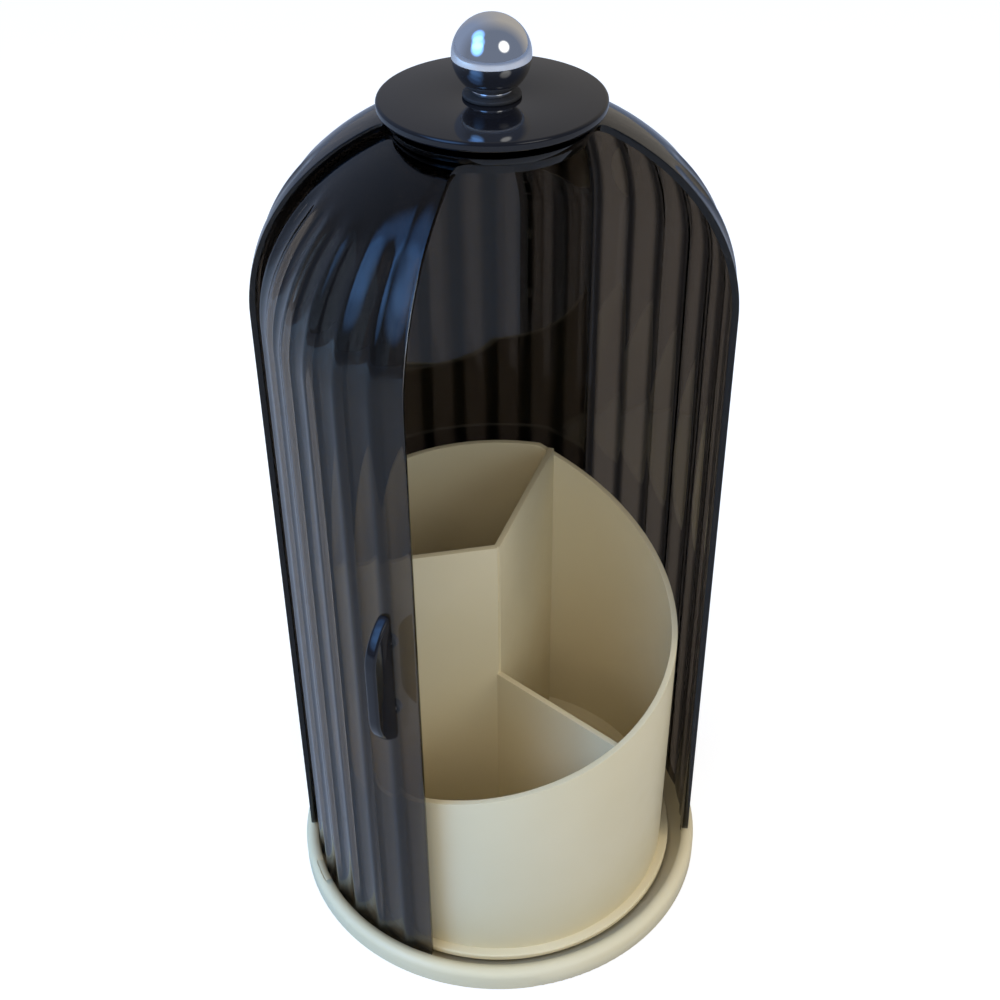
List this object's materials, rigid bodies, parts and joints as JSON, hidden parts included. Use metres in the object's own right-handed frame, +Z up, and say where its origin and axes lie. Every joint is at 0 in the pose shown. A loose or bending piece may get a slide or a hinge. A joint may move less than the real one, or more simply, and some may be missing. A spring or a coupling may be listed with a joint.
{
  "type": "rotating makeup organizer",
  "caption": "Round makeup organizer: a divided cup with a spiral rim that spins on a ball-bearing base, under a smoked fluted dome with a turning door and a ball knob.",
  "frame": {"origin": "centre of the underside, on the surface that the rubber feet stand on", "axes": "+Z up along the turning axis, -Y through the middle of the fixed dome's opening"},
  "size_m": [0.132, 0.132, 0.2839],
  "materials": {
    "cream_plastic": "smooth satin",
    "smoked_plastic": "clear, smoke grey, polished",
    "black_gloss": "polished",
    "ball_chrome": "mirror",
    "bearing_steel": "plain",
    "foot_rubber": "matt",
    "white_nylon": "matt",
    "gasket_rubber": "matt"
  },
  "bodies": {
    "base": {"base_tray": "cream_plastic", "base_feet": "foot_rubber", "spindle_washer": "bearing_steel", "spindle_screw": "bearing_steel", "rear_shell": "smoked_plastic", "pivot_bush": "white_nylon", "thrust_washer": "white_nylon", "pivot_washer": "bearing_steel", "pivot_screw": "bearing_steel", "cap_disc": "black_gloss", "knob_gasket": "gasket_rubber", "knob_collar": "ball_chrome", "ball_knob": "ball_chrome"},
    "cup_body": {"turntable": "cream_plastic", "cup": "cream_plastic"},
    "ball_ring": {"bearing_balls": "bearing_steel", "bearing_cage": "white_nylon"},
    "door": {"door_shell": "smoked_plastic", "door_handle": "black_gloss", "handle_screws": "bearing_steel"}
  },
  "joints": [
    {"name": "cup_spin", "type": "hinge", "parent": "base", "child": "cup_body", "pos_m": [0, 0, 0.005], "axis": [0, 0, 1], "continuous": true},
    {"name": "ball_ring_spin", "type": "hinge", "parent": "base", "child": "ball_ring", "pos_m": [0, 0, 0.0034], "axis": [0, 0, 1], "continuous": true},
    {"name": "door_turn", "type": "hinge", "parent": "base", "child": "door", "pos_m": [0, 0, 0.256], "axis": [0, 0, 1], "range_deg": [-29, 107]}
  ],
  "couplings": [
    {"joint": "ball_ring_spin", "follows": "cup_spin", "ratio": 0.5}
  ]
}
